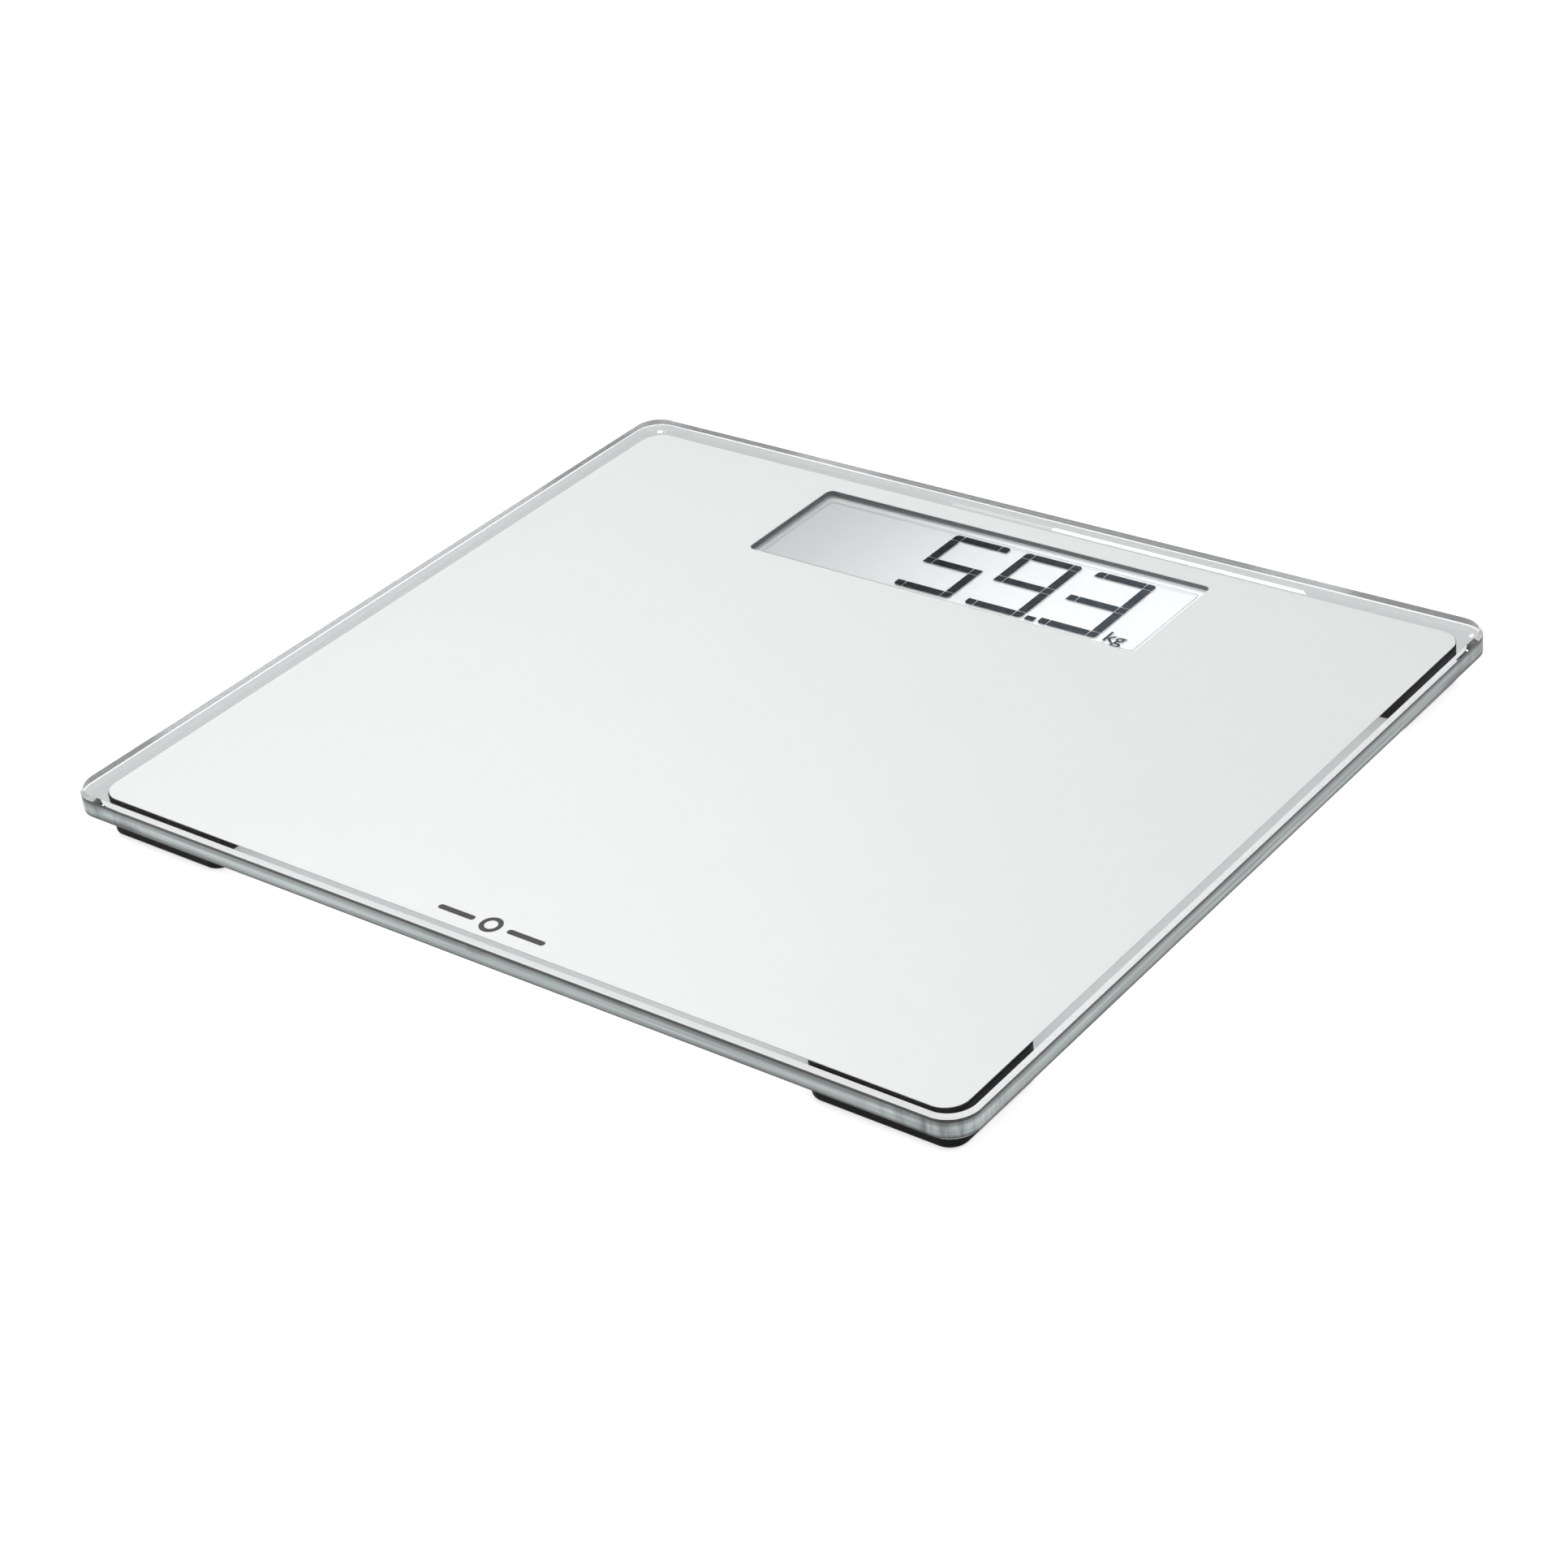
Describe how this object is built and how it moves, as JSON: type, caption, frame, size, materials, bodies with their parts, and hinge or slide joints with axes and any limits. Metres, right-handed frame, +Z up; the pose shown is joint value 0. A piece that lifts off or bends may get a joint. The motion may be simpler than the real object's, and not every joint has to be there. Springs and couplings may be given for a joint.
{
  "type": "glass personal scale",
  "caption": "Flat rectangular personal scale: clear-edged glass platform with white underprint, recessed digit display and black sprung corner feet.",
  "frame": {"origin": "on the floor under the centre of the platform", "axes": "+X to the user's right along the long side, +Y away from the user towards the display, +Z up"},
  "size_m": [0.35, 0.297, 0.018],
  "materials": {
    "clear_glass": "polished clear tempered glass, faint green edge",
    "white_print": "white screen print behind glass",
    "lcd_glass": "thin display glass",
    "polariser": "clear polarising film",
    "silver_film": "satin silver reflector",
    "soft_rubber": "soft striped elastomer",
    "board_green": "green solder mask",
    "component_black": "matt epoxy",
    "screw_steel": "zinc plated",
    "cell_steel": "ground spring steel",
    "gauge_coating": "white silicone",
    "cable_sheath": "pale vinyl sheath",
    "foam_tape": "white foam tape",
    "housing_white": "fine texture",
    "battery_steel": "plain can",
    "contact_nickel": "nickel plated",
    "holder_black": "satin",
    "button_grey": "soft grey key",
    "bezel_grey": "satin grey",
    "foot_rubber": "matt rubber",
    "foot_black": "satin moulded plastic"
  },
  "bodies": {
    "root": {"backing_print": "white_print", "battery": "battery_steel", "battery_contact_clip": "contact_nickel", "battery_contact_spring": "contact_nickel", "battery_holder": "holder_black", "board_components": "component_black", "board_screws": "screw_steel", "cable_clips": "housing_white", "circuit_board": "board_green", "control_chip": "component_black", "display_bezel": "bezel_grey", "electronics_housing": "housing_white", "foot_mount_back_left": "foot_black", "foot_mount_back_right": "foot_black", "foot_mount_front_left": "foot_black", "foot_mount_front_right": "foot_black", "foot_tapes": "foam_tape", "glass_platform": "clear_glass", "housing_tape": "foam_tape", "lcd_connector_strip": "soft_rubber", "lcd_front_glass": "lcd_glass", "lcd_polariser": "polariser", "lcd_rear_glass": "lcd_glass", "lcd_reflector": "silver_film", "load_cell_back_left": "cell_steel", "load_cell_back_right": "cell_steel", "load_cell_front_left": "cell_steel", "load_cell_front_right": "cell_steel", "load_cell_screws": "screw_steel", "sensor_cable_back_left": "cable_sheath", "sensor_cable_back_right": "cable_sheath", "sensor_cable_front_left": "cable_sheath", "sensor_cable_front_right": "cable_sheath", "strain_gauges": "gauge_coating", "unit_switch": "component_black"},
    "foot_front_left": {"foot_cap_front_left": "foot_black", "foot_pad_front_left": "foot_rubber"},
    "foot_front_right": {"foot_cap_front_right": "foot_black", "foot_pad_front_right": "foot_rubber"},
    "foot_back_left": {"foot_cap_back_left": "foot_black", "foot_pad_back_left": "foot_rubber"},
    "foot_back_right": {"foot_cap_back_right": "foot_black", "foot_pad_back_right": "foot_rubber"},
    "battery_cover": {"battery_cover": "housing_white"},
    "unit_button": {"unit_button": "button_grey"}
  },
  "joints": [
    {"name": "foot_press_front_left", "type": "slide", "parent": "root", "child": "foot_front_left", "axis": [0, 0, 1], "range_m": [0, 0.0004], "stiffness_N_per_m": 500, "springref_m": -0.0126},
    {"name": "foot_press_front_right", "type": "slide", "parent": "root", "child": "foot_front_right", "axis": [0, 0, 1], "range_m": [0, 0.0004], "stiffness_N_per_m": 500, "springref_m": -0.0126},
    {"name": "foot_press_back_left", "type": "slide", "parent": "root", "child": "foot_back_left", "axis": [0, 0, 1], "range_m": [0, 0.0004], "stiffness_N_per_m": 500, "springref_m": -0.0126},
    {"name": "foot_press_back_right", "type": "slide", "parent": "root", "child": "foot_back_right", "axis": [0, 0, 1], "range_m": [0, 0.0004], "stiffness_N_per_m": 500, "springref_m": -0.0126},
    {"name": "battery_cover_slide", "type": "slide", "parent": "root", "child": "battery_cover", "axis": [0, -1, 0], "range_m": [0, 0.006]},
    {"name": "unit_button_press", "type": "slide", "parent": "root", "child": "unit_button", "axis": [0, 0, 1], "range_m": [0, 0.0004], "stiffness_N_per_m": 300}
  ]
}
